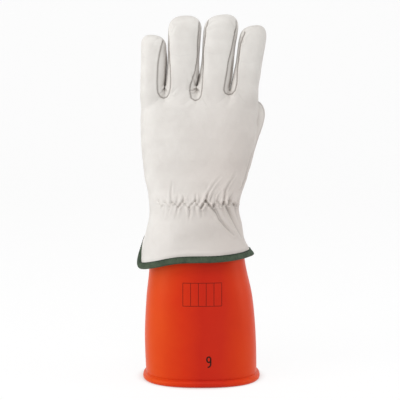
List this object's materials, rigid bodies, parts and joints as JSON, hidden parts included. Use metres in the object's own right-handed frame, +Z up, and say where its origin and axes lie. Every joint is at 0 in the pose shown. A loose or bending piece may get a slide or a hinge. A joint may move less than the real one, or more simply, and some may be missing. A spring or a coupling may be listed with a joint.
{
  "type": "electrical insulating glove with leather protector",
  "caption": "Rubber insulating glove for a left hand with a long beaded sleeve, worn inside a pale leather protector glove with a gathered wrist and a bound gauntlet hem.",
  "frame": {"origin": "middle of the bounding box, on the ground under the rolled bead", "axes": "+Z up towards the fingertips, -Y towards the back of the hand, +X towards the thumb side"},
  "size_m": [0.1326, 0.0954, 0.363],
  "materials": {
    "rubber": "satin",
    "leather": "matte",
    "binding": "matte",
    "elastic": "matte",
    "thread": "matte"
  },
  "bodies": {
    "insulating_glove": {"rubber_sleeve": "rubber", "rubber_hand": "rubber"},
    "rubber_little_finger": {"rubber_little": "rubber"},
    "rubber_ring_finger": {"rubber_ring": "rubber"},
    "rubber_middle_finger": {"rubber_middle": "rubber"},
    "rubber_index_finger": {"rubber_index": "rubber"},
    "rubber_thumb_body": {"rubber_thumb": "rubber"},
    "protector": {"back_panel": "leather", "palm_panel": "leather", "hem_binding": "binding", "wrist_elastic": "elastic", "elastic_stitching": "thread"},
    "leather_little_finger": {"little_back": "leather", "little_palm": "leather", "little_strip": "leather"},
    "leather_ring_finger": {"ring_back": "leather", "ring_palm": "leather", "ring_outer_strip": "leather", "ring_inner_strip": "leather"},
    "leather_middle_finger": {"middle_back": "leather", "middle_palm": "leather", "middle_outer_strip": "leather", "middle_inner_strip": "leather"},
    "leather_index_finger": {"index_back": "leather", "index_palm": "leather", "index_strip": "leather"},
    "leather_thumb": {"thumb_outer": "leather", "thumb_inner": "leather"}
  },
  "joints": [
    {"name": "protector_lift", "type": "slide", "parent": "insulating_glove", "child": "protector", "axis": [0, 0, 1], "range_m": [0, 0.26], "deforming": ["rubber_hand", "rubber_little", "rubber_ring", "rubber_middle", "rubber_index", "rubber_thumb"]},
    {"name": "little_flex", "type": "hinge", "parent": "insulating_glove", "child": "rubber_little_finger", "pos_m": [-0.0475, 0.00891, 0.284], "axis": [-1, 0, 0], "range_deg": [0, 70], "stiffness_Nm_per_rad": 0.08},
    {"name": "little_leather_flex", "type": "hinge", "parent": "protector", "child": "leather_little_finger", "pos_m": [-0.0475, 0.00891, 0.284], "axis": [-1, 0, 0], "range_deg": [0, 70], "stiffness_Nm_per_rad": 0.08},
    {"name": "ring_flex", "type": "hinge", "parent": "insulating_glove", "child": "rubber_ring_finger", "pos_m": [-0.0197, 0.00891, 0.284], "axis": [-1, 0, 0], "range_deg": [0, 70], "stiffness_Nm_per_rad": 0.08},
    {"name": "ring_leather_flex", "type": "hinge", "parent": "protector", "child": "leather_ring_finger", "pos_m": [-0.0197, 0.00891, 0.284], "axis": [-1, 0, 0], "range_deg": [0, 70], "stiffness_Nm_per_rad": 0.08},
    {"name": "middle_flex", "type": "hinge", "parent": "insulating_glove", "child": "rubber_middle_finger", "pos_m": [0.0122, 0.00891, 0.284], "axis": [-1, 0, 0], "range_deg": [0, 70], "stiffness_Nm_per_rad": 0.08},
    {"name": "middle_leather_flex", "type": "hinge", "parent": "protector", "child": "leather_middle_finger", "pos_m": [0.0122, 0.00891, 0.284], "axis": [-1, 0, 0], "range_deg": [0, 70], "stiffness_Nm_per_rad": 0.08},
    {"name": "index_flex", "type": "hinge", "parent": "insulating_glove", "child": "rubber_index_finger", "pos_m": [0.043, 0.00891, 0.284], "axis": [-1, 0, 0], "range_deg": [0, 70], "stiffness_Nm_per_rad": 0.08},
    {"name": "index_leather_flex", "type": "hinge", "parent": "protector", "child": "leather_index_finger", "pos_m": [0.043, 0.00891, 0.284], "axis": [-1, 0, 0], "range_deg": [0, 70], "stiffness_Nm_per_rad": 0.08},
    {"name": "thumb_swing", "type": "hinge", "parent": "insulating_glove", "child": "rubber_thumb_body", "pos_m": [0.0282, 0.01748, 0.213], "axis": [0.342, 0.9397, 0], "range_deg": [0, 50], "stiffness_Nm_per_rad": 0.2},
    {"name": "thumb_leather_swing", "type": "hinge", "parent": "protector", "child": "leather_thumb", "pos_m": [0.0282, 0.01748, 0.213], "axis": [0.342, 0.9397, 0], "range_deg": [0, 50], "stiffness_Nm_per_rad": 0.2}
  ],
  "couplings": [
    {"joint": "little_leather_flex", "follows": "little_flex", "ratio": 1},
    {"joint": "ring_leather_flex", "follows": "ring_flex", "ratio": 1},
    {"joint": "middle_leather_flex", "follows": "middle_flex", "ratio": 1},
    {"joint": "index_leather_flex", "follows": "index_flex", "ratio": 1},
    {"joint": "thumb_leather_swing", "follows": "thumb_swing", "ratio": 1}
  ]
}
